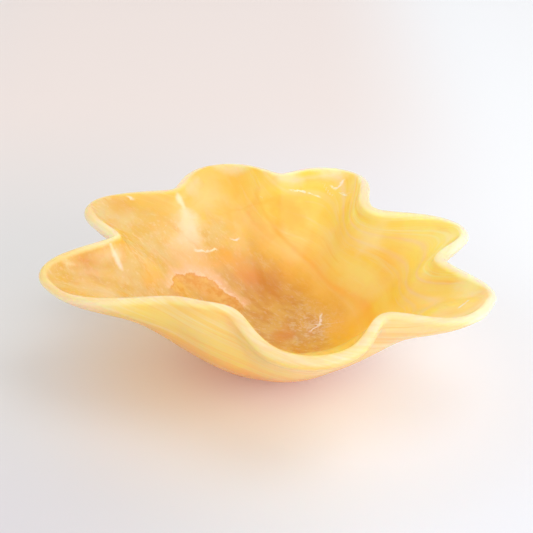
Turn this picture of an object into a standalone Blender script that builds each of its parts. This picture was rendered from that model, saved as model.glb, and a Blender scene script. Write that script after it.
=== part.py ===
"""Carved onyx bowl: one stone with seven fluted lobes round its rim, a softly rounded lip and a flat foot.

Lengths are in metres and angles in degrees. The origin is the centre of the foot, on the surface that the bowl
stands on: +X runs to the bowl's right, +Y to its back and +Z up. The rim is a closed curve through a few named
points. Every section through the axis is one curve that leaves the flat floor, climbs the wall and leans out at
the lip: widely in a lobe, hardly at all in a valley between two lobes.
"""
import math
from typing import Callable, NamedTuple

import bmesh
import bpy
import numpy as np

FULL_TURN = 360.0


class RimPoint(NamedTuple):
    """One point of the inner edge of the lip."""

    name: str
    angle: float  # round the axis, from +X towards +Y
    reach: float  # out from the axis
    height: float  # above the foot
    rise: float | None = None  # how steeply the wall meets the lip, given at tips and valleys only
    wall: float | None = None  # the wall's thickness at the lip, given with the rise


RIM = (
    RimPoint("front tip", -81.0, 0.190, 0.1065, 52.0, 0.012),
    RimPoint("front lobe, right side", -71.5, 0.1765, 0.1055),
    RimPoint("front to right valley", -53.5, 0.1495, 0.108, 75.0, 0.009),
    RimPoint("right lobe, front side", -44.0, 0.1855, 0.1075),
    RimPoint("right tip", -31.0, 0.195, 0.108, 42.0, 0.009),
    RimPoint("right lobe, back side", -19.5, 0.178, 0.1005),
    RimPoint("right valley", -7.5, 0.137, 0.1005, 83.0, 0.011),
    RimPoint("far right lobe, front side", 5.0, 0.1455, 0.1035),
    RimPoint("far right tip", 13.0, 0.1655, 0.103, 54.0, 0.010),
    RimPoint("far right lobe, back side", 26.5, 0.1635, 0.1015),
    RimPoint("far right valley", 43.5, 0.1225, 0.102, 94.0, 0.011),
    RimPoint("back right lobe, right side", 59.0, 0.1465, 0.1075),
    RimPoint("back right tip", 67.5, 0.195, 0.102, 49.0, 0.011),
    RimPoint("back right lobe, left side", 81.5, 0.1785, 0.108),
    RimPoint("back valley", 90.5, 0.161, 0.110, 63.0, 0.0105),
    RimPoint("back left lobe, right side", 98.0, 0.183, 0.109),
    RimPoint("back left tip", 101.5, 0.2015, 0.1055, 39.0, 0.011),
    RimPoint("back left lobe, left side", 116.5, 0.187, 0.108),
    RimPoint("back left valley", 129.0, 0.1565, 0.110, 66.0, 0.0115),
    RimPoint("far left lobe, back side", 138.5, 0.1795, 0.1085),
    RimPoint("far left tip", 149.5, 0.2035, 0.106, 39.0, 0.011),
    RimPoint("far left lobe, front side", 163.0, 0.158, 0.106),
    RimPoint("far left valley", 177.0, 0.1585, 0.1055, 80.0, 0.0105),
    RimPoint("left lobe, back side", 183.5, 0.1925, 0.1015),
    RimPoint("left tip", 195.5, 0.202, 0.0995, 50.0, 0.008),
    RimPoint("left lobe, front side", 210.0, 0.1845, 0.107),
    RimPoint("left valley, near the left lobe", 225.5, 0.1425, 0.113),
    RimPoint("left to front valley", 243.5, 0.133, 0.117, 92.0, 0.0105),
    RimPoint("left valley, near the front lobe", 256.5, 0.1345, 0.112),
    RimPoint("front lobe, left side", 266.0, 0.1645, 0.105),
)

# The section: a curve from the floor's centre to the lip, drawn out by three control points.
FLOOR_HEIGHT = 0.013
FLOOR_PULL = 0.108  # reach of the control that keeps the floor level
WALL_PULL_REACH = 0.107
WALL_PULL_HEIGHT = 0.096
GENTLE_RISE = 40.0  # a rise this gentle has the shorter lean below the lip, a steep one the longer
STEEP_RISE = 80.0
GENTLE_LEAN = 0.025
STEEP_LEAN = 0.037

# The wall's thickness, measured square to the inside, is least at the lip and grows towards the floor.
FLOOR_THICKNESS = 0.0215
THICKENING_POWER = 3
LIP_ROUNDING = 0.0034
SHARE_STEP = 0.001  # a short way along the section and round the axis, for finding the square to the inside
ANGLE_STEP = 0.05

SPOKES = 132
INSIDE_RINGS = 14
OUTSIDE_RINGS = 12
FIRST_RING = 0.11  # share of the section at which the floor's disc ends
LAST_RING = 0.05  # share at which the outside ends, below the plane that the foot is ground to
LIP_ROUNDING_STEPS = 3
SHARP_EDGE = 50.0
FOOT_CUTTER_WIDTH = 0.30
FOOT_CUTTER_DEPTH = 0.05

STONE_COLOUR = (0.86, 0.52, 0.17, 1.0)
STONE_ROUGHNESS = 0.14
STONE_METALLIC = 0.0


def clear_scene() -> None:
    """Remove whatever the file opened with."""
    for thing in list(bpy.data.objects):
        bpy.data.objects.remove(thing, do_unlink=True)


def closed_spline(angles: np.ndarray, values: np.ndarray) -> Callable[[np.ndarray], np.ndarray]:
    """Give the smooth closed curve through values that stand at rising angles round the axis."""
    count = len(angles)
    gaps = np.diff(np.append(angles, angles[0] + FULL_TURN))
    slopes = (np.roll(values, -1) - values) / gaps
    system = np.zeros((count, count))
    for i in range(count):
        before, after = (i - 1) % count, (i + 1) % count
        system[i, before] += gaps[before]
        system[i, i] += 2.0 * (gaps[before] + gaps[i])
        system[i, after] += gaps[i]
    bends = np.linalg.solve(system, 6.0 * (slopes - np.roll(slopes, 1)))
    bends_after = np.roll(bends, -1)

    def value_at(where: np.ndarray) -> np.ndarray:
        turned = (where - angles[0]) % FULL_TURN + angles[0]
        i = np.searchsorted(angles, turned, side="right") - 1
        s = turned - angles[i]
        start_slope = slopes[i] - gaps[i] * (2.0 * bends[i] + bends_after[i]) / 6.0
        return values[i] + s * start_slope + s**2 * bends[i] / 2.0 + s**3 * (bends_after[i] - bends[i]) / (6.0 * gaps[i])

    return value_at


def closed_easing(angles: np.ndarray, values: np.ndarray) -> Callable[[np.ndarray], np.ndarray]:
    """Give the curve that eases from each value to the next and is level at both."""
    gaps = np.diff(np.append(angles, angles[0] + FULL_TURN))
    after = np.roll(values, -1)

    def value_at(where: np.ndarray) -> np.ndarray:
        turned = (where - angles[0]) % FULL_TURN + angles[0]
        i = np.searchsorted(angles, turned, side="right") - 1
        share = (turned - angles[i]) / gaps[i]
        return values[i] + (after[i] - values[i]) * (1.0 - np.cos(np.pi * share)) / 2.0

    return value_at


RIM_ANGLES = np.array([point.angle for point in RIM])
RIM_REACH = closed_spline(RIM_ANGLES, np.array([point.reach for point in RIM]))
RIM_HEIGHT = closed_spline(RIM_ANGLES, np.array([point.height for point in RIM]))
TURNS = [point for point in RIM if point.rise is not None]
TURN_ANGLES = np.array([point.angle for point in TURNS])
RIM_RISE = closed_easing(TURN_ANGLES, np.array([point.rise for point in TURNS]))
RIM_WALL = closed_easing(TURN_ANGLES, np.array([point.wall for point in TURNS]))


def spoke_angles(count: int) -> np.ndarray:
    """Give angles that divide the rim into equal lengths, so that tight valleys get as many faces as lobes."""
    fine = np.linspace(0.0, FULL_TURN, 20 * count + 1)
    reach, height, turn = RIM_REACH(fine), RIM_HEIGHT(fine), np.radians(fine)
    rim = np.stack([reach * np.cos(turn), reach * np.sin(turn), height], axis=1)
    length = np.append(0.0, np.cumsum(np.linalg.norm(np.diff(rim, axis=0), axis=1)))
    return np.interp(np.arange(count) * length[-1] / count, length, fine)


def inside_ring(angles: np.ndarray, share: float) -> np.ndarray:
    """Give the points of the bowl's inside at one share of the way from the floor's centre to the lip."""
    reach, height, rise = RIM_REACH(angles), RIM_HEIGHT(angles), RIM_RISE(angles)
    steepness = (rise - GENTLE_RISE) / (STEEP_RISE - GENTLE_RISE)
    lean = GENTLE_LEAN + (STEEP_LEAN - GENTLE_LEAN) * steepness
    rise = np.radians(rise)
    weights = [math.comb(4, k) * share**k * (1.0 - share) ** (4 - k) for k in range(5)]
    out = (0.0, FLOOR_PULL, WALL_PULL_REACH, reach - lean * np.cos(rise), reach)
    up = (FLOOR_HEIGHT, FLOOR_HEIGHT, WALL_PULL_HEIGHT, height - lean * np.sin(rise), height)
    ring_reach = sum(weight * value for weight, value in zip(weights, out))
    ring_height = sum(weight * value for weight, value in zip(weights, up)) + 0.0 * reach
    turn = np.radians(angles)
    return np.stack([ring_reach * np.cos(turn), ring_reach * np.sin(turn), ring_height], axis=1)


def outside_ring(angles: np.ndarray, share: float) -> np.ndarray:
    """Give the points of the bowl's outside, one wall's thickness behind the same points of the inside."""
    along = inside_ring(angles, share + SHARE_STEP) - inside_ring(angles, share - SHARE_STEP)
    around = inside_ring(angles + ANGLE_STEP, share) - inside_ring(angles - ANGLE_STEP, share)
    square = np.cross(around, along)
    square /= np.linalg.norm(square, axis=1, keepdims=True)
    lip = RIM_WALL(angles)
    thickness = lip + (FLOOR_THICKNESS - lip) * (1.0 - share) ** THICKENING_POWER
    return inside_ring(angles, share) + square * thickness[:, None]


def stone(name: str) -> bpy.types.Object:
    """Raise the bowl ring by ring from the disc of its floor up to the lip, and down the outside to its base."""
    angles = spoke_angles(SPOKES)
    rise = np.linspace(FIRST_RING, 1.0, INSIDE_RINGS)
    descent = np.linspace(1.0, LAST_RING, OUTSIDE_RINGS)
    rings = [inside_ring(angles, share) for share in rise] + [outside_ring(angles, share) for share in descent]
    body = bmesh.new()
    disc = bmesh.ops.create_circle(body, cap_ends=True, cap_tris=True, segments=SPOKES, radius=1.0)
    hub = next(vert for vert in disc["verts"] if not vert.is_boundary)
    hub.co = (0.0, 0.0, FLOOR_HEIGHT)
    ring = [vert for vert in disc["verts"] if vert is not hub]
    ring.sort(key=lambda vert: math.atan2(vert.co.y, vert.co.x) % math.tau)
    edges = [edge for edge in body.edges if edge.is_boundary]
    for vert, place in zip(ring, rings[0]):
        vert.co = place
    for places in rings[1:]:
        grown = bmesh.ops.extrude_edge_only(body, edges=edges)["geom"]
        edges = [part for part in grown if isinstance(part, bmesh.types.BMEdge) and part.is_boundary]
        raised = {part for part in grown if isinstance(part, bmesh.types.BMVert)}
        ring = [next(edge.other_vert(vert) for edge in vert.link_edges if edge.other_vert(vert) in raised)
                for vert in ring]
        for vert, place in zip(ring, places):
            vert.co = place
    bmesh.ops.contextual_create(body, geom=edges)
    bmesh.ops.recalc_face_normals(body, faces=body.faces)
    mesh = bpy.data.meshes.new(name)
    body.to_mesh(mesh)
    body.free()
    return bpy.data.objects.new(name, mesh)


def foot_cutter(collection: bpy.types.Collection) -> bpy.types.Object:
    """Make the block whose top face grinds the foot flat."""
    mesh = bpy.data.meshes.new("foot_cutter")
    block = bmesh.new()
    bmesh.ops.create_cube(block, size=1.0)
    bmesh.ops.scale(block, vec=(FOOT_CUTTER_WIDTH, FOOT_CUTTER_WIDTH, FOOT_CUTTER_DEPTH), verts=block.verts)
    block.to_mesh(mesh)
    block.free()
    cutter = bpy.data.objects.new("foot_cutter", mesh)
    cutter.location.z = -FOOT_CUTTER_DEPTH / 2.0
    cutter.hide_render = True
    cutter.display_type = "WIRE"
    collection.objects.link(cutter)
    return cutter


def onyx() -> bpy.types.Material:
    """Make the polished honey-coloured stone."""
    material = bpy.data.materials.new("onyx")
    material.use_nodes = True
    shader = material.node_tree.nodes["Principled BSDF"]
    shader.inputs["Base Color"].default_value = STONE_COLOUR
    shader.inputs["Roughness"].default_value = STONE_ROUGHNESS
    shader.inputs["Metallic"].default_value = STONE_METALLIC
    return material


def main() -> None:
    """Build the bowl."""
    clear_scene()
    parts = bpy.data.collections.new("onyx_bowl")
    cutters = bpy.data.collections.new("cutters")
    bpy.context.scene.collection.children.link(parts)
    bpy.context.scene.collection.children.link(cutters)

    bowl = stone("bowl")
    parts.objects.link(bowl)

    lip = bowl.modifiers.new("lip", "BEVEL")
    lip.limit_method = "ANGLE"
    lip.angle_limit = math.radians(SHARP_EDGE)
    lip.width = LIP_ROUNDING
    lip.segments = LIP_ROUNDING_STEPS
    lip.use_clamp_overlap = False

    foot = bowl.modifiers.new("foot", "BOOLEAN")
    foot.operation = "DIFFERENCE"
    foot.solver = "EXACT"
    foot.object = foot_cutter(cutters)

    bowl.data.materials.append(onyx())
    bowl.data.shade_smooth()
    bowl.data.set_sharp_from_angle(angle=math.radians(SHARP_EDGE))


if __name__ == "__main__":
    main()
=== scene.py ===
"""Render scene of a carved onyx bowl: one polished stone on a pale floor, under soft studio light.

Lengths are in metres and angles in degrees where nothing else is said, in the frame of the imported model: the
origin is the centre of the foot, +X runs to the bowl's right, +Y to its back and +Z up.
"""
import logging
import math
from dataclasses import dataclass
from enum import Enum
from typing import NamedTuple

import bmesh
import bpy
import numpy as np
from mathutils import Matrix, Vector, noise


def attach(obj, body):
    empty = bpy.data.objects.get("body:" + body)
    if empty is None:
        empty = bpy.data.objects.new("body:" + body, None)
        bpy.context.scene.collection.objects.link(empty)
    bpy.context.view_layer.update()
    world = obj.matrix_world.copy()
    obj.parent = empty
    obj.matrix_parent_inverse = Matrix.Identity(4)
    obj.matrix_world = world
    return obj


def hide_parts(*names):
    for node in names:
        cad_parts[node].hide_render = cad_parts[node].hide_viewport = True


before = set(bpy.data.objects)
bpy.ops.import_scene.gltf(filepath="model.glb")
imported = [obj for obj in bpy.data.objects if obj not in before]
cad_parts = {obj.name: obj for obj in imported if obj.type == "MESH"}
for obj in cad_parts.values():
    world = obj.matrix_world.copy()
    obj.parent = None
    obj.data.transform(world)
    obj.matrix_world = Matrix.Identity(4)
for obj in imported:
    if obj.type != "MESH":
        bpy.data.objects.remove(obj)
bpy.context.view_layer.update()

FULL_TURN = 360.0
FINE_PARTS = 20  # fine steps that each part of the rim is measured in
CROWDING = 0.35  # how much closer the rings stand near the lip
QUARTER_ROUND = 0.5523  # the handle that draws a quarter circle, as a share of its radius
TINY = 1e-12  # keeps a vector's length above nought
DECIMETRES = 10.0  # in a metre
MILLIMETRE = 0.001
LOG = logging.getLogger("onyx_bowl")

Triple = tuple[float, float, float]
Paint = tuple[float, float, float, float]
Stops = tuple[tuple[float, Paint], ...]
BLACK: Paint = (0.0, 0.0, 0.0, 1.0)


class RimPoint(NamedTuple):
    """One point of the inner edge of the lip."""

    name: str
    angle: float  # round the axis, from +X towards +Y
    reach: float  # out from the axis
    height: float  # above the foot
    rise: float | None = None  # how steeply the wall meets the lip, given at tips and valleys only
    wall: float | None = None  # the wall's thickness at the lip, given with the rise


RIM = (
    RimPoint("front tip", -81.0, 0.19, 0.1065, 52.0, 0.012),
    RimPoint("front lobe, right side", -71.5, 0.1765, 0.1055),
    RimPoint("front to right valley", -53.5, 0.1495, 0.108, 75.0, 0.009),
    RimPoint("right lobe, front side", -44.0, 0.1855, 0.1075),
    RimPoint("right tip", -31.0, 0.195, 0.108, 42.0, 0.009),
    RimPoint("right lobe, back side", -19.5, 0.178, 0.1005),
    RimPoint("right valley", -7.5, 0.137, 0.1005, 83.0, 0.011),
    RimPoint("far right lobe, front side", 5.0, 0.1455, 0.1035),
    RimPoint("far right tip", 13.0, 0.1655, 0.103, 54.0, 0.01),
    RimPoint("far right lobe, back side", 26.5, 0.1635, 0.1015),
    RimPoint("far right valley", 43.5, 0.1225, 0.102, 94.0, 0.011),
    RimPoint("back right lobe, right side", 59.0, 0.1465, 0.1075),
    RimPoint("back right tip", 67.5, 0.195, 0.102, 49.0, 0.011),
    RimPoint("back right lobe, left side", 81.5, 0.1785, 0.108),
    RimPoint("back valley", 90.5, 0.161, 0.11, 63.0, 0.0105),
    RimPoint("back left lobe, right side", 98.0, 0.183, 0.109),
    RimPoint("back left tip", 101.5, 0.2015, 0.1055, 39.0, 0.011),
    RimPoint("back left lobe, left side", 116.5, 0.187, 0.108),
    RimPoint("back left valley", 129.0, 0.1565, 0.11, 66.0, 0.0115),
    RimPoint("far left lobe, back side", 138.5, 0.1795, 0.1085),
    RimPoint("far left tip", 149.5, 0.2035, 0.106, 39.0, 0.011),
    RimPoint("far left lobe, front side", 163.0, 0.158, 0.106),
    RimPoint("far left valley", 177.0, 0.1585, 0.1055, 80.0, 0.0105),
    RimPoint("left lobe, back side", 183.5, 0.1925, 0.1015),
    RimPoint("left tip", 195.5, 0.2008, 0.0995, 50.0, 0.008),
    RimPoint("left lobe, front side", 210.0, 0.1845, 0.107),
    RimPoint("left valley, near the left lobe", 225.5, 0.1425, 0.113),
    RimPoint("left to front valley", 243.5, 0.133, 0.117, 92.0, 0.0105),
    RimPoint("left valley, near the front lobe", 256.5, 0.1345, 0.112),
    RimPoint("front lobe, left side", 266.0, 0.1645, 0.105),
)


class Passing(Enum):
    """How a closed curve passes through the values it is given."""

    SMOOTH = "one smooth bend from value to value"
    EASED = "level at every value, and eased in between"


@dataclass(frozen=True)
class ClosedCurve:
    """A curve round the axis, through values that stand at rising angles."""

    angles: np.ndarray
    values: np.ndarray
    passing: Passing = Passing.SMOOTH

    def at(self, where: np.ndarray) -> np.ndarray:
        """Give the curve's values.

        Args:
            where: angles round the axis, in degrees.

        Returns:
            One value for each angle.
        """
        gaps = np.diff(np.append(self.angles, self.angles[0] + FULL_TURN))
        turned = (where - self.angles[0]) % FULL_TURN + self.angles[0]
        i = np.searchsorted(self.angles, turned, side="right") - 1
        after = np.roll(self.values, -1)
        if self.passing is Passing.EASED:
            share = (turned - self.angles[i]) / gaps[i]
            return self.values[i] + (after[i] - self.values[i]) * (1.0 - np.cos(np.pi * share)) / 2.0
        slopes = (after - self.values) / gaps
        bends = self._bends(gaps, slopes)
        bends_after = np.roll(bends, -1)
        s = turned - self.angles[i]
        start_slope = slopes[i] - gaps[i] * (2.0 * bends[i] + bends_after[i]) / 6.0
        turn = s**3 * (bends_after[i] - bends[i]) / (6.0 * gaps[i])
        return self.values[i] + s * start_slope + s**2 * bends[i] / 2.0 + turn

    def _bends(self, gaps: np.ndarray, slopes: np.ndarray) -> np.ndarray:
        """Solve for the bends that make the slope run on smoothly through every value.

        Args:
            gaps: angle from each value to the next.
            slopes: straight slope from each value to the next.

        Returns:
            The second derivative at each value.
        """
        count = len(gaps)
        system = np.zeros((count, count))
        for i in range(count):
            before, after = (i - 1) % count, (i + 1) % count
            system[i, before] += gaps[before]
            system[i, i] += 2.0 * (gaps[before] + gaps[i])
            system[i, after] += gaps[i]
        return np.linalg.solve(system, 6.0 * (slopes - np.roll(slopes, 1)))


@dataclass(frozen=True)
class Rim:
    """The lip's inner edge and the wall that meets it, as closed curves round the axis."""

    reach: ClosedCurve
    height: ClosedCurve
    rise: ClosedCurve
    wall: ClosedCurve

    @classmethod
    def through(cls, points: tuple[RimPoint, ...]) -> "Rim":
        """Draw the rim through its named points.

        Args:
            points: the points in order of angle.

        Returns:
            The rim.
        """
        angles = np.array([point.angle for point in points])
        turns = [point for point in points if point.rise is not None]
        turn_angles = np.array([point.angle for point in turns])
        return cls(
            reach=ClosedCurve(angles, np.array([point.reach for point in points])),
            height=ClosedCurve(angles, np.array([point.height for point in points])),
            rise=ClosedCurve(turn_angles, np.array([point.rise for point in turns]), Passing.EASED),
            wall=ClosedCurve(turn_angles, np.array([point.wall for point in turns]), Passing.EASED),
        )

    def even_angles(self, count: int) -> np.ndarray:
        """Give angles that divide the rim into equal lengths.

        Args:
            count: how many parts.

        Returns:
            The angles, so that tight valleys get as many faces as wide lobes.
        """
        fine = np.linspace(0.0, FULL_TURN, FINE_PARTS * count + 1)
        reach, height, turn = self.reach.at(fine), self.height.at(fine), np.radians(fine)
        line = np.stack([reach * np.cos(turn), reach * np.sin(turn), height], axis=1)
        length = _lengths(line)
        return np.interp(np.arange(count) * length[-1] / count, length, fine)


@dataclass(frozen=True)
class Vein:
    """A thin seam on the bowl's inside, through points on its surface."""

    name: str
    points: tuple[Triple, ...]  # in millimetres

    def across(self, places: np.ndarray, squares: np.ndarray) -> np.ndarray:
        """Measure how surface points lie to the seam.

        Args:
            places: the points.
            squares: the surface's outward direction at each.

        Returns:
            For each point, how far it lies to the seam's left, how far along the seam, and the seam's length.
        """
        line = np.array(self.points) * MILLIMETRE
        runs = np.diff(line, axis=0)
        lengths = np.linalg.norm(runs, axis=1)
        nearest = np.full(places.shape[:-1], np.inf)
        result = np.zeros(places.shape)
        walked = 0.0
        for start, run, length in zip(line, runs, lengths):
            way = run / length
            gap = places - start
            along = np.clip(gap @ way, 0.0, length)
            far = np.linalg.norm(gap - along[..., None] * way, axis=-1)
            left = np.sum(gap * _unit(np.cross(squares, way)), axis=-1)
            closer = far < nearest
            found = np.stack([left, gap @ way + walked, np.full_like(left, lengths.sum())], axis=-1)
            result[closer] = found[closer]
            nearest = np.minimum(nearest, far)
            walked += length
        return result


SEAM = Vein("seam", ((-100, 19, 56.6), (-100, 31, 58.5), (-95, 49, 55.5), (-86, 58.5, 53), (-77, 62, 50),
                     (-68, 63.5, 46.5), (-60, 62, 41), (-53, 59, 36), (-46, 55.5, 32), (-38.5, 52, 27.5),
                     (-34, 46.5, 24)))
FLECKS = (
    Vein("back_fleck", ((9.5, 152, 96), (23, 156, 92), (32, 158, 89.5), (39.5, 156, 86))),
    Vein("back_right_fleck", ((50, 172.5, 91.5), (54.5, 167.5, 90), (60, 174, 92), (64, 180, 95))),
    Vein("middle_fleck", ((-47.5, 110, 64.5), (-44, 110, 62.5), (-41, 110, 61.5), (-38.5, 113, 62))),
    Vein("left_fleck", ((-79.5, 80.5, 65), (-69.5, 83.5, 62.5), (-58.5, 91.5, 61))),
    Vein("far_left_fleck", ((-144, 116.5, 104), (-140.5, 115, 102.5), (-136.5, 114.5, 102))),
    Vein("right_fleck", ((144, -96, 96.5), (150, -88, 96), (155.5, -79, 95))),
    Vein("star_upright", ((37, 37, 22), (36, 23, 19), (37, 4, 17))),
    Vein("star_slanting", ((26, 14, 15), (36, 22, 18), (45, 27, 22))),
)


@dataclass
class BowlShape:
    """The carved stone's surface, as sections from the floor's centre over the lip to the foot."""

    rim: Rim
    floor_height: float = 0.013
    floor_pull: float = 0.108
    wall_pull_reach: float = 0.107
    wall_pull_height: float = 0.096
    gentle_rise: float = 40.0
    steep_rise: float = 80.0
    gentle_lean: float = 0.025
    steep_lean: float = 0.037
    floor_thickness: float = 0.0215
    thickening_power: int = 3
    lip_rounding: float = 0.42  # as a share of the wall's thickness at the lip
    lip_crown: float = 0.0002
    first_share: float = 0.02
    spokes: int = 400
    inside_rings: int = 84
    corner_rings: int = 5
    outside_rings: int = 78
    fine_steps: int = 400
    lead_steps: int = 12  # the fine steps that the lip's direction is taken over

    def inside(self, angles: np.ndarray, shares: np.ndarray) -> np.ndarray:
        """Give points of the bowl's inside.

        Args:
            angles: angles round the axis.
            shares: shares of the way from the floor's centre to the lip.

        Returns:
            An array of angles by shares by three.
        """
        rim = self.rim
        reach, height, rise = (curve.at(angles)[:, None] for curve in (rim.reach, rim.height, rim.rise))
        steepness = (rise - self.gentle_rise) / (self.steep_rise - self.gentle_rise)
        lean = self.gentle_lean + (self.steep_lean - self.gentle_lean) * steepness
        rise = np.radians(rise)
        floor = self.floor_height
        out = (0.0, self.floor_pull, self.wall_pull_reach, reach - lean * np.cos(rise), reach)
        up = (floor, floor, self.wall_pull_height, height - lean * np.sin(rise), height)
        order = len(out) - 1
        weights = [math.comb(order, k) * shares**k * (1.0 - shares) ** (order - k) for k in range(order + 1)]
        far = sum(weight[None, :] * value for weight, value in zip(weights, out))
        high = sum(weight[None, :] * value for weight, value in zip(weights, up))
        turn = np.radians(angles)[:, None]
        return np.stack([far * np.cos(turn), far * np.sin(turn), high], axis=2)

    def thickness(self, angles: np.ndarray, shares: np.ndarray) -> np.ndarray:
        """Give the wall's thickness, least at the lip, as an array of angles by shares."""
        lip = self.rim.wall.at(angles)[:, None]
        return lip + (self.floor_thickness - lip) * (1.0 - shares[None, :]) ** self.thickening_power

    def rings(self) -> "Rings":
        """Lay the whole surface out in rings.

        Returns:
            The rings, from the floor's centre up the inside, over the lip and down to the foot.
        """
        angles = self.rim.even_angles(self.spokes)
        shares = np.linspace(self.first_share, 1.0, self.fine_steps)
        inner = self.inside(angles, shares)
        along = _unit(np.gradient(inner, axis=1))
        around = np.roll(inner, -1, axis=0) - np.roll(inner, 1, axis=0)
        square = _unit(np.cross(around, along))
        square *= -np.sign(square[:, :1, 2:3])
        outer = inner + square * self.thickness(angles, shares)[:, :, None]
        places, from_lip = zip(*(self._section(up, down) for up, down in zip(inner, outer)))
        return Rings(np.array(places), np.array(from_lip))

    def _section(self, inner: np.ndarray, outer: np.ndarray) -> tuple[np.ndarray, np.ndarray]:
        """Draw one section with its lip rounded.

        Args:
            inner: fine points up the inside.
            outer: the matching points of the outside.

        Returns:
            The ring points of this section, and for each how far it is from the lip, counted
            below nought on the inside and above nought on the outside.
        """
        inside_length = _lengths(inner)
        outside_length = _lengths(outer)
        across = outer[-1] - inner[-1]
        rounding = self.lip_rounding * np.linalg.norm(across)
        across /= np.linalg.norm(across)
        inside_end = inside_length[-1] - rounding
        outside_end = outside_length[-1] - rounding
        foot = int(np.argmax(outer[:, 2] > 0.0))
        low, high = outer[foot - 1], outer[foot]
        part = low[2] / (low[2] - high[2])
        outside_start = outside_length[foot - 1] + part * (outside_length[foot] - outside_length[foot - 1])

        up = _resample(inner, inside_length, _crowded(0.0, inside_end, self.inside_rings))
        fall = _crowded(outside_start, outside_end, self.outside_rings)
        down = _resample(outer, outside_length, fall)[::-1]
        lead = -self.lead_steps
        inner_up, outer_up = _unit(inner[-1] - inner[lead]), _unit(outer[-1] - outer[lead])
        near = _corner(up[-1], inner[-1] + across * rounding, inner_up, across, rounding, self.corner_rings)
        far = _corner(outer[-1] - across * rounding, down[0], across, -outer_up, rounding, self.corner_rings)
        crown = (near[-1] + far[0]) / 2.0 + (inner_up + outer_up) / 2.0 * self.lip_crown
        section = np.concatenate([up, near[1:], crown[None], far[:-1], down])
        section[-1, 2] = 0.0
        middle = len(up) + len(near) - 1
        walked = _lengths(section)
        return section, walked - walked[middle]


def _unit(vectors: np.ndarray) -> np.ndarray:
    """Scale vectors to a length of one."""
    return vectors / np.linalg.norm(vectors, axis=-1, keepdims=True)


def _lengths(line: np.ndarray) -> np.ndarray:
    """Give the length walked along a line at each of its points."""
    return np.append(0.0, np.cumsum(np.linalg.norm(np.diff(line, axis=0), axis=1)))


def _resample(line: np.ndarray, length: np.ndarray, where: np.ndarray) -> np.ndarray:
    """Give the points of a line at the lengths asked for."""
    return np.stack([np.interp(where, length, line[:, axis]) for axis in range(3)], axis=1)


def _crowded(start: float, end: float, count: int) -> np.ndarray:
    """Give rising lengths from start to end that stand a little closer near the end."""
    share = np.linspace(0.0, 1.0, count)
    return start + (end - start) * (share + CROWDING * share * (1.0 - share))


def _corner(
    start: np.ndarray, end: np.ndarray, leave: np.ndarray, arrive: np.ndarray, radius: float, count: int
) -> np.ndarray:
    """Draw a quarter round.

    Args:
        start: where it begins.
        end: where it ends.
        leave: direction at its start.
        arrive: direction at its end.
        radius: how round it is.
        count: how many points it has past its start.

    Returns:
        The points, both ends among them.
    """
    handle = QUARTER_ROUND * radius
    share = np.linspace(0.0, 1.0, count + 1)[:, None]
    left = 1.0 - share
    first, second = start + leave * handle, end - arrive * handle
    return left**3 * start + 3.0 * left**2 * share * first + 3.0 * left * share**2 * second + share**3 * end


@dataclass
class Rings:
    """The surface's points, spoke by ring, and how far along the section each is from the lip's middle."""

    places: np.ndarray
    from_lip: np.ndarray

    def squares(self) -> np.ndarray:
        """Find which way the surface faces.

        Returns:
            The outward direction at every point.
        """
        along = np.gradient(self.places, axis=1)
        around = np.roll(self.places, -1, axis=0) - np.roll(self.places, 1, axis=0)
        return _unit(np.cross(around, along) + TINY)


class Wire:
    """One output in a node graph, so that arithmetic on it adds Math nodes."""

    def __init__(self, graph: "Graph", socket: bpy.types.NodeSocket) -> None:
        """Keep the graph and the socket."""
        self.graph = graph
        self.socket = socket

    def _math(self, operation: str, *values: "Wire | float") -> "Wire":
        """Add a Math node."""
        return self.graph.node("ShaderNodeMath", {"operation": operation}, dict(enumerate(values)))

    def __add__(self, other: "Wire | float") -> "Wire":
        """Add."""
        return self._math("ADD", self, other)

    __radd__ = __add__

    def __sub__(self, other: "Wire | float") -> "Wire":
        """Subtract."""
        return self._math("SUBTRACT", self, other)

    def __rsub__(self, other: float) -> "Wire":
        """Subtract this from a number."""
        return self._math("SUBTRACT", other, self)

    def __mul__(self, other: "Wire | float") -> "Wire":
        """Multiply."""
        return self._math("MULTIPLY", self, other)

    __rmul__ = __mul__

    def __truediv__(self, other: "Wire | float") -> "Wire":
        """Divide."""
        return self._math("DIVIDE", self, other)

    def __abs__(self) -> "Wire":
        """Drop the sign."""
        return self._math("ABSOLUTE", self)

    def least(self, other: "Wire | float") -> "Wire":
        """Give the smaller of the two."""
        return self._math("MINIMUM", self, other)

    def most(self, other: "Wire | float") -> "Wire":
        """Give the larger of the two."""
        return self._math("MAXIMUM", self, other)

    def step(self, low: float, high: float) -> "Wire":
        """Rise smoothly from 0 to 1 between two values, or fall if the first is the larger.

        Args:
            low: where it is 0.
            high: where it is 1.

        Returns:
            The smooth step.
        """
        start, end, swap = (low, high, False) if low < high else (high, low, True)
        settings = {"interpolation_type": "SMOOTHSTEP", "clamp": True}
        sockets = {"Value": self, "From Min": start, "From Max": end,
                   "To Min": 1.0 if swap else 0.0, "To Max": 0.0 if swap else 1.0}
        return self.graph.node("ShaderNodeMapRange", settings, sockets)


Value = Wire | float | tuple[float, ...]


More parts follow.
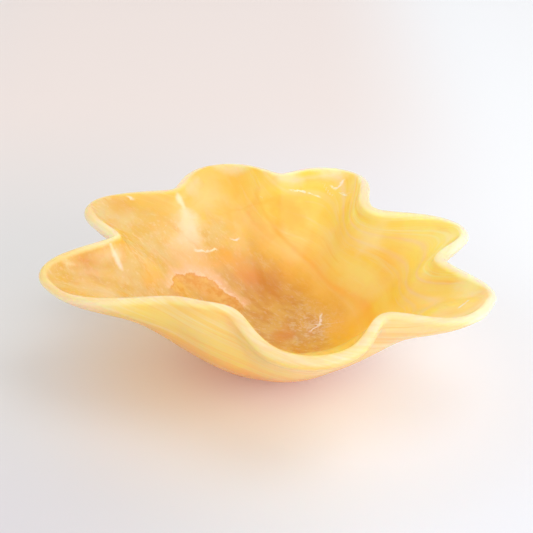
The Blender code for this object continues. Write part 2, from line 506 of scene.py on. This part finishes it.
class Graph:
    """A material's node graph."""

    def __init__(self, name: str) -> None:
        """Start a material with an empty graph.

        Args:
            name: the material's name.
        """
        self.material = bpy.data.materials.new(name)
        self.material.use_nodes = True
        self.tree = self.material.node_tree
        self.tree.nodes.clear()

    def node(
        self, kind: str, settings: dict[str, object], sockets: dict[int | str, Value], output: int | str = 0
    ) -> Wire:
        """Add a node.

        Args:
            kind: the node's type.
            settings: its own settings, set before its sockets. The stops of a colour ramp are
                given as "stops", a tuple of places and colours.
            sockets: values or wires for its inputs, by number or name.
            output: which output to give back.

        Returns:
            The output asked for.
        """
        made = self.tree.nodes.new(kind)
        for key, value in settings.items():
            if key == "stops":
                self._set_stops(made.color_ramp, value)
            else:
                setattr(made, key, value)
        for key, value in sockets.items():
            if isinstance(value, Wire):
                self.tree.links.new(value.socket, made.inputs[key])
            else:
                made.inputs[key].default_value = value
        return Wire(self, made.outputs[output])

    @staticmethod
    def _set_stops(ramp: bpy.types.ColorRamp, stops: Stops) -> None:
        """Give a colour ramp its stops.

        Args:
            ramp: the ramp.
            stops: their places and colours, at least two.
        """
        while len(ramp.elements) < len(stops):
            ramp.elements.new(0.5)
        for element, (place, colour) in zip(ramp.elements, stops):
            element.position = place
            element.color = colour

    def place(self) -> Wire:
        """Give the place on the piece, in metres."""
        return self.node("ShaderNodeTexCoord", {}, {}, "Object")

    def attribute(self, name: str, output: str = "Fac") -> Wire:
        """Read one of the mesh's own attributes."""
        return self.node("ShaderNodeAttribute", {"attribute_name": name}, {}, output)

    def vector(self, operation: str, *values: Value, output: int = 0) -> Wire:
        """Do vector arithmetic."""
        return self.node("ShaderNodeVectorMath", {"operation": operation}, dict(enumerate(values)), output)

    def scaled(self, vector: Value, factor: Value) -> Wire:
        """Make a vector longer."""
        return self.node("ShaderNodeVectorMath", {"operation": "SCALE"}, {0: vector, "Scale": factor})

    def split(self, vector: Wire) -> tuple[Wire, Wire, Wire]:
        """Take a vector apart."""
        first = self.node("ShaderNodeSeparateXYZ", {}, {0: vector})
        return tuple(Wire(self, first.socket.node.outputs[axis]) for axis in range(3))

    def join(self, x: Value, y: Value, z: Value) -> Wire:
        """Put a vector together."""
        return self.node("ShaderNodeCombineXYZ", {}, {0: x, 1: y, 2: z})

    def cloud(self, where: Wire, scale: float, detail: float, rough: float) -> Wire:
        """Give smooth noise between 0 and 1.

        Args:
            where: the place it is read at.
            scale: how many lumps to a unit.
            detail: how many finer layers.
            rough: how strong the finer layers are.

        Returns:
            The noise.
        """
        sockets = {"Vector": where, "Scale": scale, "Detail": detail, "Roughness": rough}
        return self.node("ShaderNodeTexNoise", {}, sockets)

    def mix(self, share: Value, first: Value, second: Value) -> Wire:
        """Mix two colours.

        Args:
            share: how much of the second.
            first: a colour.
            second: a colour.

        Returns:
            The mixed colour.
        """
        settings = {"data_type": "RGBA", "clamp_factor": True}
        return self.node("ShaderNodeMix", settings, {0: share, 6: first, 7: second}, 2)

    def cells(self, where: Wire, scale: float) -> Wire:
        """Give the distance from the walls in a pattern of cells, in parts of a cell."""
        sockets = {"Vector": where, "Scale": scale}
        return self.node("ShaderNodeTexVoronoi", {"feature": "DISTANCE_TO_EDGE"}, sockets, "Distance")

    def ramp(self, share: Wire, stops: Stops) -> Wire:
        """Give the colour of a ramp."""
        return self.node("ShaderNodeValToRGB", {"stops": stops}, {0: share})

    def surface(self, shader: Wire) -> None:
        """Send a shader to the material's output."""
        output = self.tree.nodes.new("ShaderNodeOutputMaterial")
        self.tree.links.new(shader.socket, output.inputs["Surface"])


def rgb(red: float, green: float, blue: float) -> Paint:
    """Turn a colour as a screen shows it into the light it stands for.

    Args:
        red: how red it is, in parts of 255.
        green: how green it is.
        blue: how blue it is.

    Returns:
        The colour, opaque.
    """
    shares = (part / 255.0 for part in (red, green, blue))
    light = (share / 12.92 if share <= 0.04045 else ((share + 0.055) / 1.055) ** 2.4 for share in shares)
    return (*light, 1.0)


@dataclass(frozen=True)
class Spot:
    """A soft patch or streak of another colour on the bowl's inside, in millimetres."""

    name: str
    middle: Triple
    reach: float  # how far it fades out from its middle line
    tint: Paint
    strength: float
    run: Triple = (0.0, 0.0, 0.0)  # from its middle to its end, for a streak


SPOTS = (
    Spot("dull honey along the back left rim", (-110, 122, 103), 60, rgb(228, 208, 132), 0.28),
    Spot("dull honey on the back wall", (-15, 130, 80), 62, rgb(228, 194, 92), 0.22),
    Spot("orange strip", (-114, 22, 69), 22, rgb(248, 190, 46), 0.5, (-4, -18, -2)),
    Spot("amber in the middle of the back wall", (-40, 108, 62), 30, rgb(249, 202, 56), 0.4, (-8, -14, -8)),
    Spot("pale honey on the right", (72, 58, 49), 28, rgb(255, 228, 130), 0.6, (16, -24, -3)),
    Spot("amber in the back left lobe", (-45, 176, 93), 28, rgb(248, 192, 40), 0.55),
    Spot("amber in the back valley", (12, 133, 81), 26, rgb(248, 184, 30), 0.6),
    Spot("amber in the far left lobe", (-149, 106, 98), 18, rgb(232, 178, 60), 0.6),
    Spot("amber above the floor's left", (-36, 88, 46), 16, rgb(238, 172, 44), 0.5, (18, -8, -12)),
    # painted highlight: reflected light along the polished ridge in the far right valley
    Spot("painted highlight on the right ridge", (85, 81, 80), 21, rgb(255, 234, 184), 0.5, (13, 4, 18)),
    Spot("pale upper edge of the left lobe", (-156, 9, 96), 14, rgb(252, 228, 180), 0.55, (11, 6, 0)),
    Spot("pale honey below the back left lip", (-86, 145, 101), 13, rgb(255, 228, 180), 0.5, (8, 25, 0)),
    Spot("pale halo of the orange patch", (-93, 46, 53), 13, rgb(255, 216, 182), 0.6),
    Spot("orange at the floor's front", (2, 11, 13.5), 26, rgb(222, 140, 0), 0.75, (10, -2, 0)),
    Spot("orange at the floor's back left", (-28, 80, 38), 17, rgb(228, 142, 0), 0.7),
    Spot("pale end of the right lobe", (158, -47, 96), 26, rgb(255, 240, 182), 0.7, (-4, -22, 0)),
    Spot("pale honey in the back left lobe", (-70, 145, 91), 30, rgb(252, 216, 136), 0.5),
    Spot("brown at the floor's back", (-10, 72, 32), 30, rgb(214, 136, 18), 0.6),
    Spot("amber at the floor's right", (58, 6, 27), 34, rgb(245, 184, 18), 0.5),
    Spot("red brown in the left lobe", (-168, -2, 90), 20, rgb(228, 172, 84), 0.5),
    Spot("pink in the left lobe", (-158, -28, 82), 34, rgb(246, 220, 176), 0.55),
    Spot("peach above the seam", (-83, 68, 57), 32, rgb(250, 205, 140), 0.6),
    # partly a milky cloud in the stone, partly a painted highlight: a window's reflection on the polished
    # ridge
    Spot("milky cloud with a painted highlight in the back left valley", (-84, 101, 84), 21, rgb(255, 234, 204), 0.7, (6, -9, -10)),
    Spot("amber right of the milky cloud and highlight", (-52, 87, 54), 18, rgb(246, 182, 50), 0.5),
    Spot("brown at the floor's back left", (-32, 87, 43), 20, rgb(226, 166, 40), 0.4),
    Spot("amber down the back wall", (9, 130, 78), 22, rgb(249, 190, 44), 0.45, (24, -12, -14)),
    Spot("amber below the back left lobe", (-50, 137, 79), 18, rgb(246, 190, 56), 0.45, (12, -10, -8)),
    Spot("cream below the back right lip", (45, 194, 104), 22, rgb(255, 240, 214), 0.7, (40, 0, 0)),
    Spot("cream below the back valley's lip", (6, 164, 108), 18, rgb(255, 236, 204), 0.6, (20, -2, -6)),
    Spot("cream below the back left lip", (-40, 196, 104), 18, rgb(255, 236, 200), 0.55, (30, -6, 0)),
    # painted highlight: the soft pale halo round the streak of reflected light on the left ridge
    Spot("pale halo of the painted highlight in the left valley", (-143, 13, 94.5), 12, rgb(255, 230, 190), 0.6),
    # the lower part of the milky cloud and its painted highlight
    Spot("milky foot of the cloud and painted highlight", (-87, 87, 73), 16, rgb(255, 226, 188), 0.55, (16, 6, -1)),
    # painted highlight: the white top streak of the window's reflection
    Spot("painted white highlight above the cloud", (-94.3, 117.6, 100.5), 4.8, rgb(255, 242, 220), 0.75,
         (4.5, -5.2, -5.6)),
    # painted highlight: a white streak of reflected light down the ridge in the left valley
    Spot("painted white highlight in the left valley", (-144.5, 10.5, 91.5), 4, rgb(255, 246, 232), 0.8, (5, -3, -11.5)),
)


# The colours of the layers on the inside and the outside, with the share of the way up that each lies at.
HONEY_LAYERS = (
    (0.1, rgb(232, 200, 110)), (0.36, rgb(232, 195, 82)), (0.44, rgb(238, 197, 70)),
    (0.475, rgb(243, 203, 90)), (0.503, rgb(250, 210, 118)), (0.525, rgb(249, 206, 96)),
    (0.575, rgb(251, 211, 84)), (0.64, rgb(255, 220, 98)), (0.68, rgb(254, 213, 78)),
    (0.705, rgb(255, 216, 88)), (0.713, rgb(253, 217, 122)), (0.722, rgb(255, 214, 86)),
    (0.738, rgb(255, 218, 104)), (0.749, rgb(253, 216, 142)), (0.76, rgb(255, 216, 92)),
    (0.795, rgb(255, 224, 114)), (0.803, rgb(253, 218, 150)), (0.812, rgb(255, 223, 102)),
    (0.84, rgb(255, 232, 140)), (0.86, rgb(255, 228, 116)), (0.92, rgb(255, 236, 166)),
)
RIND_LAYERS = (
    (0.1, rgb(230, 178, 86)), (0.22, rgb(244, 198, 90)), (0.3, rgb(255, 220, 114)),
    (0.38, rgb(255, 222, 124)), (0.5, rgb(254, 218, 124)), (0.6, rgb(255, 222, 154)),
    (0.8, rgb(255, 222, 160)),
)


class StoneColour:
    """The colour at a place in the stone, built up by laying one colour over another.

    The place is in decimetres here, and so is its depth, which is how high it lies in the layers.
    """

    GRAIN: Triple = (0.72, -0.45, -0.52)  # the way the coarse crystals grew
    STRETCH = 0.76
    LOWEST = -0.3  # where the colours of the layers begin
    HEIGHT = 1.6  # and how far up they go

    def __init__(self, graph: Graph) -> None:
        """Measure the place, in layers that dip to the right and are gently warped.

        Args:
            graph: the material's graph.
        """
        self.graph = graph
        self.place = graph.scaled(graph.place(), DECIMETRES)
        self.x, self.y, self.z = x, y, z = graph.split(self.place)
        sway = graph.cloud(self.place, 0.9, 2.0, 0.45)
        ripple = graph.cloud(self.place, 3.4, 2.0, 0.5)
        dip = x * (0.42 - x * (0.12 + x * 0.07)) + y * (0.03 - y * (0.1 - y * 0.01))
        twist = x * y * (x * 0.03 - y * 0.015 - 0.02)
        self.depth = z + dip + twist + (sway - 0.5) * 0.04 + (ripple - 0.5) * 0.02
        self.streaks = self.stripes(1.6, 30.0, 4.0, 0.62)
        self.from_lip = graph.attribute("from_lip")
        self.tint: Value = BLACK

    def stripes(self, length: float, fineness: float, detail: float = 2.5, rough: float = 0.55) -> Wire:
        """Give stripes along the layers.

        Args:
            length: how many changes to a decimetre along a layer.
            fineness: how many changes to a decimetre across the layers.
            detail: how many finer changes there are.
            rough: how strong the finer changes are.

        Returns:
            The stripes, between 0 and 1.
        """
        where = self.graph.join(self.x * length, self.y * length, self.depth * fineness)
        return self.graph.cloud(where, 1.0, detail, rough)

    def layers(self, stops: Stops) -> None:
        """Begin with the colour of the layer that the place is in."""
        self.tint = self.graph.ramp((self.depth - self.LOWEST) / self.HEIGHT, stops)

    def lay(self, share: Value, colour: Value) -> None:
        """Lay a share of a colour over what is there."""
        self.tint = self.graph.mix(share, self.tint, colour)

    def whole(self) -> Wire:
        """Build up the colours of the outside and the inside, and the lip over both.

        Returns:
            The colour.
        """
        self.rind()
        outside = self.tint
        self.honey()
        self.coarse()
        self.belt()
        self.spots()
        self.patch()
        self.flecks()
        self.tint = self.graph.mix(self.from_lip.step(0.001, -0.006), outside, self.tint)
        self.lip()
        return self.tint

    def honey(self) -> None:
        """Colour the clear layers of the inside."""
        graph, place, streaks = self.graph, self.place, self.streaks
        drift = graph.cloud(place, 1.4, 3.0, 0.5)
        self.layers(HONEY_LAYERS)
        self.lay(drift.step(0.52, 0.72) * 0.5, rgb(255, 216, 136))
        self.lay(drift.step(0.46, 0.28) * 0.4, rgb(249, 196, 66))
        self.lay(streaks.step(0.52, 0.75) * 0.45, rgb(255, 226, 160))
        self.lay(streaks.step(0.47, 0.28) * 0.4, rgb(249, 194, 66))
        hairs = self.stripes(0.6, 70.0).step(0.5, 0.62) * self.depth.step(0.98, 1.04)
        self.lay(hairs * 0.45, rgb(255, 240, 190))
        ways = graph.node("ShaderNodeTexNoise", {}, {"Vector": place, "Scale": 2.5, "Detail": 3.0}, "Color")
        bent = graph.vector("ADD", place, graph.scaled(ways, 0.35))
        near = graph.vector("DISTANCE", place, (-0.12, 1.36, 0.82), output=1).step(0.55, 0.25)
        scallops = graph.cells(bent, 3.0).step(0.12, 0.02)
        self.lay(scallops * near * 0.28, rgb(246, 180, 50))

    def coarse(self) -> None:
        """Lay the coarse orange crystals over the inside's low layers."""
        graph, place, clear = self.graph, self.place, self.tint
        run = graph.vector("DOT_PRODUCT", place, self.GRAIN, output=1)
        drawn = graph.vector("SUBTRACT", place, graph.scaled(self.GRAIN, run * self.STRETCH))
        lumps = graph.cloud(place, 2.6, 5.0, 0.6)
        grains = graph.cloud(drawn, 9.0, 5.0, 0.66)
        specks = graph.cloud(graph.vector("ADD", place, drawn), 13.0, 4.0, 0.7)
        deep = graph.mix(grains.step(0.36, 0.66), rgb(216, 148, 38), rgb(230, 180, 78))
        deep = graph.mix(specks.step(0.52, 0.7) * 0.45, deep, rgb(234, 202, 148))
        self.tint = graph.mix(lumps.step(0.42, 0.62), rgb(231, 204, 130), rgb(230, 191, 88))
        self.lay(grains.step(0.5, 0.64) * 0.42, rgb(226, 172, 70))
        self.lay(specks.step(0.52, 0.66) * 0.4, rgb(242, 222, 176))
        self.lay(self.z.step(0.78, 0.24) * 0.85, deep)
        needles = abs(graph.cloud(drawn, 7.0, 4.0, 0.6) - 0.5).step(0.022, 0.0)
        self.lay(needles * grains.step(0.35, 0.6) * 0.28, rgb(248, 220, 174))
        middle = graph.vector("DISTANCE", place, (0.32, 0.19, 0.17), output=1).step(0.46, 0.08)
        self.lay(specks.step(0.46, 0.6) * middle * 0.5, rgb(238, 208, 160))
        low = (self.depth + (lumps - 0.5) * 0.3).step(0.5, 0.38)
        self.tint = graph.mix(low, clear, self.tint)

    def belt(self) -> None:
        """Deepen the amber layer that lies over the coarse crystals, and the thin line above it."""
        x = self.x
        sway = (self.graph.cloud(self.place, 4.0, 3.0, 0.55) - 0.5) * 0.08
        swayed = self.depth + sway
        belt = (swayed - x * 0.16).step(0.58, 0.4) * swayed.step(0.28, 0.4) * x.step(-0.45, 0.15)
        self.lay(belt * 0.55, rgb(244, 192, 14))
        off = x - 0.4
        line = abs(self.depth + sway * 0.3 - off * off * 0.45 - 0.52).step(0.035, 0.0)
        self.lay(line * x.step(-0.4, 0.1) * x.step(1.1, 0.7) * 0.5, rgb(244, 178, 36))

    def spots(self) -> None:
        """Lay the soft patches in."""
        graph = self.graph
        unit = MILLIMETRE * DECIMETRES
        ragged = graph.cloud(self.place, 6.0, 4.0, 0.6) - 0.5
        for spot in SPOTS:
            reach = unit * spot.reach
            offset = graph.vector("SUBTRACT", self.place, tuple(unit * part for part in spot.middle))
            thinning = 0.0
            if any(spot.run):
                run = Vector(spot.run) * unit
                share = graph.vector("DOT_PRODUCT", offset, tuple(run / run.length_squared), output=1)
                along = graph.scaled(tuple(run), share.least(1.0).most(-1.0))
                offset = graph.vector("SUBTRACT", offset, along)
                thinning = (share * share * 0.5).least(0.8) * reach
            far = graph.vector("LENGTH", offset, output=1) + ragged * reach + thinning
            self.lay(far.step(reach, 0.0) * spot.strength, spot.tint)

    def patch(self) -> None:
        """Lay the orange patch with its jagged pale edge over the floor's left side."""
        graph, place = self.graph, self.place
        left, along, length = graph.split(graph.attribute(SEAM.name, "Vector"))
        left = left + (graph.cloud(place, 5.0, 5.0, 0.72) - 0.5) * 0.02
        broken = graph.cloud(place, 18.0, 3.0, 0.6).step(0.4, 0.56)
        mottle = graph.cloud(place, 12.0, 4.0, 0.65).step(0.38, 0.62)
        reach = along.step(-0.004, 0.006) * (along - length).step(0.006, -0.004)
        halo = left.step(-0.012, -0.001) * left.step(0.0012, 0.0)
        body = left.step(0.0, 0.0012) * left.step(0.028, 0.01)
        inner = abs(left - 0.0012).step(0.0016, 0.0004)
        outer = abs(left + 0.001).step(0.002, 0.0006)
        self.lay(halo * reach * 0.5, rgb(255, 216, 180))
        self.lay(body * reach * 0.8, graph.mix(mottle, rgb(230, 164, 58), rgb(240, 194, 98)))
        self.lay(inner * reach * mottle * 0.5, rgb(230, 150, 70))
        self.lay(outer * reach * broken * 0.5, rgb(253, 224, 188))

    def flecks(self) -> None:
        """Draw the short white veins."""
        left, along, length = self.graph.split(self.graph.attribute("fleck", "Vector"))
        jags = self.graph.cloud(self.place, 16.0, 3.0, 0.6) - 0.5
        reach = along.step(-0.002, 0.003) * (along - length).step(0.002, -0.003)
        line = abs(left + jags * 0.006).step(0.0016, 0.0004) * reach * jags.step(-0.2, 0.02)
        self.lay(line * 0.78, rgb(255, 242, 222))

    def rind(self) -> None:
        """Colour the layers as the outside shows them, in long fine stripes, with painted shade low down near
        the floor.
        """
        broad, fine = self.stripes(0.6, 13.0), self.stripes(0.7, 36.0)
        self.layers(RIND_LAYERS)
        self.lay(broad.step(0.5, 0.64) * 0.45, rgb(255, 228, 166))
        self.lay(broad.step(0.48, 0.36) * 0.45, rgb(254, 196, 98))
        self.lay(fine.step(0.54, 0.7) * 0.4, rgb(255, 230, 180))
        self.lay(fine.step(0.45, 0.32) * 0.4, rgb(254, 192, 100))
        # painted shade: a darker orange low on the outside, near the floor
        self.lay(self.z.step(0.42, 0.12) * 0.6, rgb(226, 150, 62))
        self.lay(self.y.step(-1.2, -1.7) * self.x.step(-0.2, 0.3) * 0.5, rgb(248, 194, 104))

    def lip(self) -> None:
        """Pale the lip and let the layers cross it.

        It is creamy at the front, golden at the back, whitest at the right end and tan at the left. Its
        paleness is partly the stone's own cream and partly painted glow, for light through the thin edge; the
        white at the right end is painted light where the lip is blown out.
        """
        mix, x, y, from_lip = self.graph.mix, self.x, self.y, self.from_lip
        streaks = self.streaks.step(0.6, 0.4)
        right, left = x.step(1.38, 1.6), x.step(-1.1, -1.6)
        outside = from_lip.step(0.0, 0.005) * from_lip.step(0.03, 0.01)
        cream = mix(streaks, rgb(253, 223, 190), rgb(253, 214, 164))
        gold = mix(streaks, rgb(255, 236, 200), rgb(254, 228, 176))
        back = mix(y.step(1.3, 1.8) * x.step(-0.9, 0.0), rgb(240, 220, 180), rgb(250, 238, 224))
        gold = mix(y.step(0.3, 1.0) * x.step(1.1, 0.8) * 0.7, gold, back)
        # painted light: the lip whitens towards the right end, where the light from the right blows it out
        pale = mix(right * 0.7, mix(y.step(0.4, -0.5), gold, cream), rgb(255, 246, 230))
        # the lip's cream, partly the stone's own and partly a painted glow of light through the thin edge
        self.lay(abs(from_lip).step(0.008, 0.002) * 0.75, pale)
        # painted light on the outside of the right end
        self.lay(outside * right * 0.5, rgb(255, 244, 226))
        tan = abs(from_lip).step(0.009, 0.002) * x.step(-1.45, -1.95) * y.step(-1.0, -0.3)
        self.lay(tan * 0.7, rgb(240, 208, 122))
        self.lay(outside * left * 0.6, rgb(246, 228, 206))
        below = from_lip.step(0.006, 0.009) * from_lip.step(0.02, 0.011) * y.step(0.0, -0.6)
        self.lay(below * x.step(1.0, 0.6) * x.step(-1.4, -0.7) * 0.35, rgb(254, 200, 90))


@dataclass(frozen=True)
class PolishedOnyx:
    """Honey-coloured banded calcite, polished and translucent, orange where its crystals are coarse."""

    slot: str = "onyx"
    roughness: float = 0.2
    roughness_spread: float = 0.1
    glow_depth: float = 0.018
    glow_radii: Triple = (1.0, 0.5, 0.16)
    index: float = 1.5

    def material(self) -> bpy.types.Material:
        """Make the stone.

        Returns:
            The material.
        """
        graph = Graph("polished_onyx")
        stone = StoneColour(graph)
        graph.surface(graph.node("ShaderNodeBsdfPrincipled", {"subsurface_method": "RANDOM_WALK"}, {
            "Base Color": stone.whole(),
            "Roughness": (stone.streaks - 0.5) * self.roughness_spread + self.roughness,
            "IOR": self.index,
            "Subsurface Weight": 1.0,
            "Subsurface Radius": self.glow_radii,
            "Subsurface Scale": self.glow_depth,
        }))
        return graph.material


def _placed(name: str, data: bpy.types.ID) -> bpy.types.Object:
    """Put a mesh, a lamp or a camera into the scene.

    Args:
        name: the object's name.
        data: what it shows.

    Returns:
        The object, at the origin.
    """
    made = bpy.data.objects.new(name, data)
    bpy.context.scene.collection.objects.link(made)
    return made


@dataclass
class OnyxBowl:
    """The whole stone."""

    shape: BowlShape
    finish: PolishedOnyx
    name: str = "onyx_bowl"
    node: str = "bowl"
    body: str = "root"
    wave_depth: float = 0.00025
    wave_sink: float = 1.2  # keeps the waves under the carved surface, in wave depths
    wave_fineness: float = 24.0
    ripple_fineness: float = 55.0
    ripple_share: float = 0.4
    flat_below: float = 0.0005

    def build(self) -> bpy.types.Object:
        """Carve, polish and place the bowl.

        Returns:
            The finished piece.
        """
        mesh = self._mesh(self.shape.rings())
        mesh.materials.append(self.finish.material())
        bowl = _placed(self.name, mesh)
        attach(bowl, self.body)
        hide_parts(self.node)
        return bowl

    def _mesh(self, rings: Rings) -> bpy.types.Mesh:
        """Raise the surface ring by ring from the disc at the floor's centre.

        Args:
            rings: where the rings lie.

        Returns:
            The closed mesh.
        """
        stone = bmesh.new()
        from_lip = stone.verts.layers.float.new("from_lip")
        seam = stone.verts.layers.float_vector.new(SEAM.name)
        fleck = stone.verts.layers.float_vector.new("fleck")
        squares = rings.squares()
        seam_values = SEAM.across(rings.places, squares)
        fleck_values = self._nearest_fleck(rings.places, squares)
        spokes = rings.places.shape[0]
        disc = bmesh.ops.create_circle(stone, cap_ends=True, cap_tris=True, segments=spokes, radius=1.0)
        hub = next(vert for vert in disc["verts"] if not vert.is_boundary)
        hub.co = (0.0, 0.0, self.shape.floor_height)
        hub[from_lip] = rings.from_lip[:, 0].mean()
        ring = [vert for vert in disc["verts"] if vert is not hub]
        ring.sort(key=lambda vert: math.atan2(vert.co.y, vert.co.x) % math.tau)
        edges = [edge for edge in stone.edges if edge.is_boundary]
        for number in range(rings.places.shape[1]):
            if number:
                ring, edges = self._grow(stone, ring, edges)
            for spoke, vert in enumerate(ring):
                vert.co = rings.places[spoke, number]
                vert[from_lip] = rings.from_lip[spoke, number]
                vert[seam] = seam_values[spoke, number]
                vert[fleck] = fleck_values[spoke, number]
        foot = bmesh.ops.contextual_create(stone, geom=edges)["faces"]
        bmesh.ops.poke(stone, faces=foot)
        bmesh.ops.recalc_face_normals(stone, faces=stone.faces)
        self._wave(stone)
        for face in stone.faces:
            face.smooth = True
        mesh = bpy.data.meshes.new(self.name)
        stone.to_mesh(mesh)
        stone.free()
        return mesh

    @staticmethod
    def _nearest_fleck(places: np.ndarray, squares: np.ndarray) -> np.ndarray:
        """Measure every point against the fleck whose middle is nearest to it.

        Args:
            places: the surface's points.
            squares: its outward direction at each.

        Returns:
            What Vein.across gives for that fleck.
        """
        measured = np.array([fleck.across(places, squares) for fleck in FLECKS])
        middles = np.array([fleck.points[len(fleck.points) // 2] for fleck in FLECKS]) * MILLIMETRE
        far = np.linalg.norm(places[None] - middles[:, None, None], axis=-1)
        return np.take_along_axis(measured, far.argmin(axis=0)[None, ..., None], axis=0)[0]

    @staticmethod
    def _grow(
        stone: bmesh.types.BMesh, ring: list[bmesh.types.BMVert], edges: list[bmesh.types.BMEdge]
    ) -> tuple[list[bmesh.types.BMVert], list[bmesh.types.BMEdge]]:
        """Extrude the open edge by one ring.

        Args:
            stone: the mesh so far.
            ring: the vertices of the open edge, spoke by spoke.
            edges: its edges.

        Returns:
            The new ring and the new open edge.
        """
        grown = bmesh.ops.extrude_edge_only(stone, edges=edges)["geom"]
        raised = {part for part in grown if isinstance(part, bmesh.types.BMVert)}
        open_edges = [part for part in grown if isinstance(part, bmesh.types.BMEdge) and part.is_boundary]
        above = [next(edge.other_vert(vert) for edge in vert.link_edges if edge.other_vert(vert) in raised)
                 for vert in ring]
        return above, open_edges

    def _wave(self, stone: bmesh.types.BMesh) -> None:
        """Press the faint unevenness of hand grinding into the surface, all but the foot.

        Args:
            stone: the closed mesh.
        """
        stone.normal_update()
        for vert in stone.verts:
            if vert.co.z > self.flat_below:
                ripple = self.ripple_share * noise.noise(vert.co * self.ripple_fineness)
                lumps = noise.noise(vert.co * self.wave_fineness) + ripple
                vert.co += vert.normal * self.wave_depth * (lumps - self.wave_sink)


@dataclass(frozen=True)
class PaleBoard:
    """A smooth pale board with a faint sheen, painted lighter and darker, with a painted glow round the bowl
    for light from the stone.
    """

    white: Paint = rgb(236, 241, 247)
    right_painted_light: Paint = rgb(246, 252, 254)
    left_painted_shade: Paint = rgb(223, 226, 225)
    shade: Paint = rgb(218, 218, 222)
    blush: Paint = rgb(240, 230, 223)
    painted_warm_glow: Paint = (0.145, 0.055, 0.005, 1.0)
    painted_cool_glow: Paint = (0.22, 0.23, 0.35, 1.0)
    glow_middle: Triple = (-0.01, -0.02, 0.0)
    glow_reach: float = 0.26
    glow_core: float = 0.04
    roughness: float = 0.45
    roughness_spread: float = 0.06

    def material(self) -> bpy.types.Material:
        """Make the board.

        Returns:
            The material.
        """
        graph = Graph("pale_board")
        place = graph.place()
        x, y, _ = graph.split(place)
        # painted light and shade in the board's tint: greyer on the left, brighter at the back right as the
        # light falls from the right, and painted shade at the front left
        tint = graph.mix(x.step(0.15, -0.3), self.white, self.left_painted_shade)
        middle = x.step(-0.75, -0.3) * x.step(0.4, 0.15)
        tint = graph.mix(y.step(0.15, 0.7) * middle * 0.9, tint, self.blush)
        tint = graph.mix(x.step(0.05, 0.32) * y.step(-0.08, 0.3), tint, self.right_painted_light)
        tint = graph.mix(x.step(0.1, -0.25) * y.step(-0.02, -0.28), tint, self.shade)
        # painted light: round the bowl the board glows, warm on the left for light through the stone, cool on
        # the right to lighten the board
        far = graph.vector("DISTANCE", place, self.glow_middle, output=1)
        glow = graph.mix(x.step(-0.12, 0.16), self.painted_warm_glow, self.painted_cool_glow)
        grain = graph.cloud(place, 6.0, 4.0, 0.5)
        graph.surface(graph.node("ShaderNodeBsdfPrincipled", {}, {
            "Base Color": tint,
            "Roughness": (grain - 0.5) * self.roughness_spread + self.roughness,
            "Emission Color": graph.mix(far.step(self.glow_reach, self.glow_core), BLACK, glow),
            "Emission Strength": 1.0,
        }))
        return graph.material


@dataclass
class Floor:
    """The pale floor that the bowl stands on."""

    finish: PaleBoard
    size: float = 9.0

    def build(self) -> bpy.types.Object:
        """Lay the floor.

        Returns:
            The floor, which is staging.
        """
        sheet = bmesh.new()
        bmesh.ops.create_grid(sheet, x_segments=1, y_segments=1, size=self.size / 2.0)
        mesh = bpy.data.meshes.new("floor")
        sheet.to_mesh(mesh)
        sheet.free()
        mesh.materials.append(self.finish.material())
        floor = _placed("floor", mesh)
        return floor


@dataclass
class SoftBox:
    """A large studio light that points at the bowl."""

    name: str
    place: Triple
    size: tuple[float, float]
    watts: float
    tint: Triple = (1.0, 1.0, 1.0)
    aim: Triple = (0.0, 0.0, 0.05)

    def build(self) -> bpy.types.Object:
        """Hang the light.

        Returns:
            The light.
        """
        lamp = bpy.data.lights.new(self.name, "AREA")
        lamp.shape = "RECTANGLE"
        lamp.size, lamp.size_y = self.size
        lamp.energy = self.watts
        lamp.color = self.tint
        box = _placed(self.name, lamp)
        box.location = self.place
        box.rotation_euler = (Vector(self.aim) - Vector(self.place)).to_track_quat("-Z", "Y").to_euler()
        return box


@dataclass
class Studio:
    """The light round the bowl."""

    boxes: tuple[SoftBox, ...]
    sky: Paint = (1.0, 0.96, 0.97, 1.0)
    sky_strength: float = 0.885

    def build(self) -> None:
        """Light the scene."""
        world = bpy.data.worlds.new("studio_air")
        world.use_nodes = True
        background = world.node_tree.nodes["Background"]
        background.inputs["Color"].default_value = self.sky
        background.inputs["Strength"].default_value = self.sky_strength
        bpy.context.scene.world = world
        for box in self.boxes:
            box.build()


@dataclass
class ViewPoint:
    """The camera."""

    place: Triple = (-0.0126, -1.1684, 0.6575)
    look_down: float = 26.0
    lens: float = 100.4
    sensor: float = 36.0
    clip_start: float = 0.01

    def build(self) -> bpy.types.Object:
        """Set the camera up.

        Returns:
            The camera.
        """
        camera = bpy.data.cameras.new("view_point")
        camera.lens = self.lens
        camera.sensor_width = self.sensor
        camera.clip_start = self.clip_start
        stand = _placed("view_point", camera)
        stand.location = self.place
        stand.rotation_euler = (math.radians(90.0 - self.look_down), 0.0, 0.0)
        bpy.context.scene.camera = stand
        return stand


def main() -> None:
    """Build the bowl, the floor, the light and the camera."""
    logging.basicConfig(level=logging.INFO, format="%(name)s: %(message)s")
    bpy.context.scene.view_settings.view_transform = "Standard"
    bowl = OnyxBowl(BowlShape(Rim.through(RIM)), PolishedOnyx()).build()
    LOG.info("%s: %d faces", bowl.name, len(bowl.data.polygons))
    Floor(PaleBoard()).build()
    Studio((
        SoftBox("high_box", (0.92, -0.14, 2.27), (1.6, 1.4), 9.0),
        SoftBox("tall_box", (1.81, -1.0, 0.75), (0.3, 1.3), 6.0),
        SoftBox("front_box", (0.6, -2.0, 0.45), (1.6, 0.8), 7.5, (1.0, 0.95, 0.93)),
    )).build()
    ViewPoint().build()
    LOG.info("sizes written")


if __name__ == "__main__":
    main()
